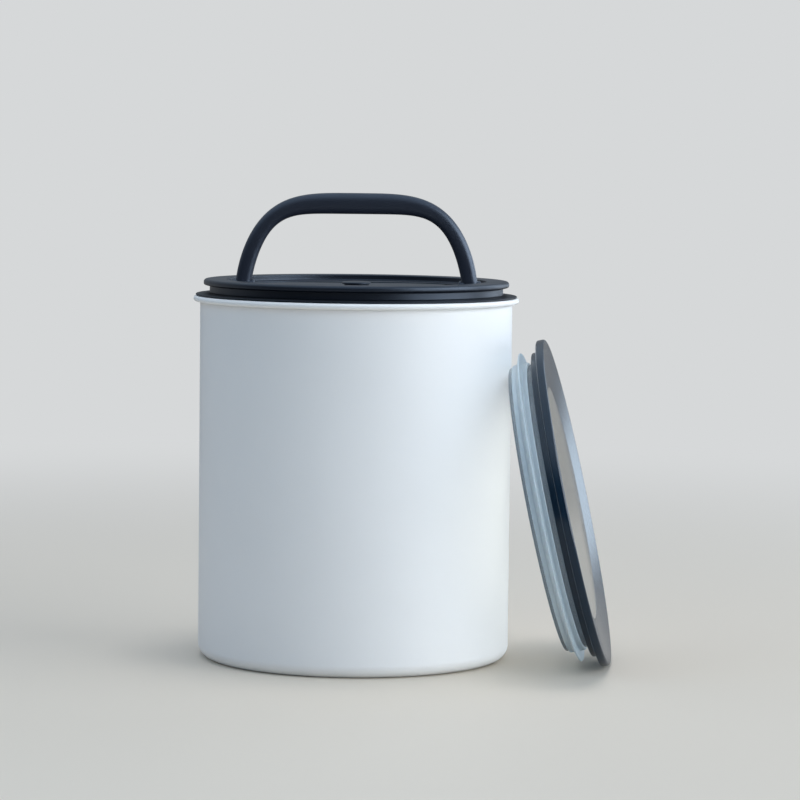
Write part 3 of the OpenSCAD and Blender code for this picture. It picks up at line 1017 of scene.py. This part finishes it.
# %% Floor
def floor_material():
    """Plain pale floor near the object that turns into the backdrop's tone far away."""
    material, tree, place = new_material("pale_painted_floor")
    distance = add_node(tree, "ShaderNodeVectorMath", {0: place}, operation="LENGTH")
    far = add_node(
        tree, "ShaderNodeMapRange",
        {"Value": distance.outputs["Value"], "From Min": 0.3, "From Max": 1.3},
        interpolation_type="SMOOTHSTEP",
    )
    ray = add_node(tree, "ShaderNodeLightPath")
    seen = add_node(
        tree, "ShaderNodeMath",
        {0: ray.outputs["Is Camera Ray"], 1: ray.outputs["Is Transmission Ray"]},
        operation="MAXIMUM",
    )
    shown = add_node(
        tree, "ShaderNodeMath",
        {0: seen.outputs[0], 1: ray.outputs["Is Glossy Ray"]},
        operation="MAXIMUM",
    )
    share = add_node(
        tree, "ShaderNodeMath",
        {0: far.outputs["Result"], 1: shown.outputs[0]},
        operation="MULTIPLY",
    )
    dimmer = add_node(
        tree, "ShaderNodeMath",
        {0: ray.outputs["Is Glossy Ray"], 1: 0.55},
        operation="MULTIPLY",
    )
    blend = add_node(
        tree, "ShaderNodeMath",
        {0: share.outputs[0], 1: dimmer.outputs[0]},
        operation="MAXIMUM",
    )
    heading = add_node(tree, "ShaderNodeVectorMath", {0: place}, operation="NORMALIZE")
    parts = add_node(tree, "ShaderNodeSeparateXYZ", {"Vector": heading.outputs["Vector"]})
    room = add_node(
        tree, "ShaderNodeMapRange",
        {"Value": parts.outputs["Y"], "From Min": -0.5, "From Max": 0.3, "To Min": 0.05,
         "To Max": 0.4},
        interpolation_type="SMOOTHSTEP",
    )
    strength = add_node(
        tree, "ShaderNodeMath",
        {0: seen.outputs[0], 1: room.outputs["Result"]},
        operation="MAXIMUM",
    )
    near = add_node(
        tree, "ShaderNodeBsdfPrincipled",
        {"Base Color": linear("E4D9C9"), "Roughness": 0.6, "IOR": 1.45},
    )
    haze = add_node(
        tree, "ShaderNodeEmission",
        {"Color": linear("D6D8D9"), "Strength": strength.outputs[0]},
    )
    mix = add_node(
        tree, "ShaderNodeMixShader",
        {"Fac": blend.outputs[0], 1: near.outputs[0], 2: haze.outputs[0]},
    )
    finish_with(tree, mix)
    return material


floor_skin = Skin()
rim = floor_skin.circle(8000, 0, 96)
floor_skin.faces.append(rim)
stage_floor = floor_skin.make("floor", floor_material())
print("floor radius 8 m")

# %% [markdown]
# ## The room around
#
# The world stands for the room. One colour for all of it is the simple way, but a backdrop
# pale enough to look right would also turn the blacks grey. So Light Path splits it. Rays that
# light the object get a cool fill, and camera and see-through rays get the pale backdrop.
# Mirror rays get a room that is dim in front, lighter behind and pale overhead, which gives
# the satin blacks their soft light edges. From the second mirror bounce on, as on the bare
# steel inside the can, they get the full backdrop, or the can's inside would look black.

# %% World
world = bpy.data.worlds.new("studio")
bpy.context.scene.world = world
world.use_nodes = True
sky = world.node_tree
sky.nodes.clear()
path = add_node(sky, "ShaderNodeLightPath")
seen = add_node(
    sky, "ShaderNodeMath",
    {0: path.outputs["Is Camera Ray"], 1: path.outputs["Is Transmission Ray"]},
    operation="MAXIMUM",
)
fill_light = add_node(sky, "ShaderNodeBackground", {"Color": linear("CADEF8"), "Strength": 0.5})
backdrop = add_node(sky, "ShaderNodeBackground", {"Color": linear("D6D8D9"), "Strength": 1.0})
direction = add_node(sky, "ShaderNodeTexCoord").outputs["Generated"]
parts = add_node(sky, "ShaderNodeSeparateXYZ", {"Vector": direction})
room = add_node(
    sky, "ShaderNodeMapRange",
    {"Value": parts.outputs["Y"], "From Min": -0.5, "From Max": 0.3, "To Min": 0.05, "To Max": 0.4},
    interpolation_type="SMOOTHSTEP",
)
around = add_node(
    sky, "ShaderNodeBackground", {"Color": linear("CED5DC"), "Strength": room.outputs["Result"]}
)
overhead = add_node(sky, "ShaderNodeBackground", {"Color": linear("CDDCE8"), "Strength": 0.95})
height = add_node(
    sky, "ShaderNodeMapRange",
    {"Value": parts.outputs["Z"], "From Min": 0.25, "From Max": 0.75},
    interpolation_type="SMOOTHSTEP",
)
first_mirror = add_node(
    sky, "ShaderNodeMixShader",
    {"Fac": height.outputs["Result"], 1: around.outputs[0], 2: overhead.outputs[0]},
)
deeper = add_node(
    sky, "ShaderNodeMath", {0: path.outputs["Glossy Depth"], 1: 1.5}, operation="GREATER_THAN"
)
mirrored = add_node(
    sky, "ShaderNodeMixShader",
    {"Fac": deeper.outputs[0], 1: first_mirror.outputs[0], 2: backdrop.outputs[0]},
)
unseen = add_node(
    sky, "ShaderNodeMixShader",
    {"Fac": path.outputs["Is Glossy Ray"], 1: fill_light.outputs[0], 2: mirrored.outputs[0]},
)
both = add_node(
    sky, "ShaderNodeMixShader",
    {"Fac": seen.outputs[0], 1: unseen.outputs[0], 2: backdrop.outputs[0]},
)
add_node(sky, "ShaderNodeOutputWorld", {"Surface": both.outputs[0]})
print("world:", world.name)

# %% [markdown]
# ## The lamps
#
# A window on the right lights the can: its right side is bright and its left side falls into a
# cool shade. A wide area lamp gives such soft light. A weaker one behind draws the lids' light
# edges, and a narrow one is mirrored in the outer lid's dished band. Two overhead lamps light
# the tops, a white one and a small blue one for the cool sky on the left. Mirror rays don't
# see these two, because a lamp's sharp patch would show on the lids, where the photograph has
# an even sheen. The window is made as three lamps in one place, because the step after this
# one lets each of them reach different pieces.

# %% Lamps
def soft_lamp(name, place, target, size, power, colour):
    """A rectangular area lamp that looks at a point and isn't seen itself."""
    data = bpy.data.lights.new(name, "AREA")
    data.shape = "RECTANGLE"
    data.size = size[0]
    data.size_y = size[1]
    data.energy = power
    data.color = linear(colour)[:3]
    lamp = bpy.data.objects.new(name, data)
    lamp.location = place
    lamp.rotation_euler = (Vector(target) - Vector(place)).to_track_quat("-Z", "Y").to_euler()
    lamp.visible_camera = False
    bpy.context.scene.collection.objects.link(lamp)
    return lamp


WINDOW_POWER = 45
WINDOW_SHARE = 0.27


def window_light(name, share):
    """A share of the big window on the right."""
    place, target, size = (1.88, -0.68, 0.75), (0, 0, 0.12), (2.4, 1.7)
    return soft_lamp(name, place, target, size, WINDOW_POWER * share, "EBF3FA")


window_light("window_light_shading_all", WINDOW_SHARE)
passing = window_light("window_light_past_the_lid", 1 - WINDOW_SHARE)
on_floor = window_light("window_light_on_the_floor", 1 - WINDOW_SHARE)
soft_lamp("rim_light", (1.58, 1.23, 0.55), (0.05, 0, 0.15), (1.2, 1.1), 8, "DCEBFA")
soft_lamp("band_light", (0.985, 1.81, 0.23), (0.14, 0, 0.1), (0.17, 0.45), 0.6, "CFE3F5")
overhead_lamps = [
    soft_lamp("ceiling_light", (0, 0, 2.2), (0, 0, 0), (0.9, 0.9), 14, "FFFFFF"),
    soft_lamp("sky_light", (-0.55, -0.55, 0.85), (0, 0, 0.18), (0.5, 0.5), 1.0, "B8E2FF"),
]
for lamp in overhead_lamps:
    lamp.visible_glossy = False
bpy.context.scene.view_settings.view_transform = "Standard"

# %% [markdown]
# ## Sharing out the window light
#
# In a real room light also comes round the outer lid, so its shadow on the can is faint, but
# one lamp would draw it strongly. Light linking sets how strong. The first share is stopped by
# everything. The second passes the outer lid on its way to the can. The third lights only the
# floor and is stopped by the lid, so the floor keeps the lid's whole shadow.

# %% What each share of the window light reaches
def linked(name, pieces, state):
    """A collection for light linking, whose pieces are all included or all excluded."""
    group = bpy.data.collections.new(name)
    for piece in pieces:
        group.objects.link(piece)
    for entry in group.collection_objects:
        entry.light_linking.link_state = state
    return group


passing.light_linking.blocker_collection = linked("lid_casts_none", outer_lid_pieces, "EXCLUDE")
passing.light_linking.receiver_collection = linked("all_but_floor", [stage_floor], "EXCLUDE")
on_floor.light_linking.receiver_collection = linked("floor_only", [stage_floor], "INCLUDE")
print("pieces that the light passes:", len(outer_lid_pieces))
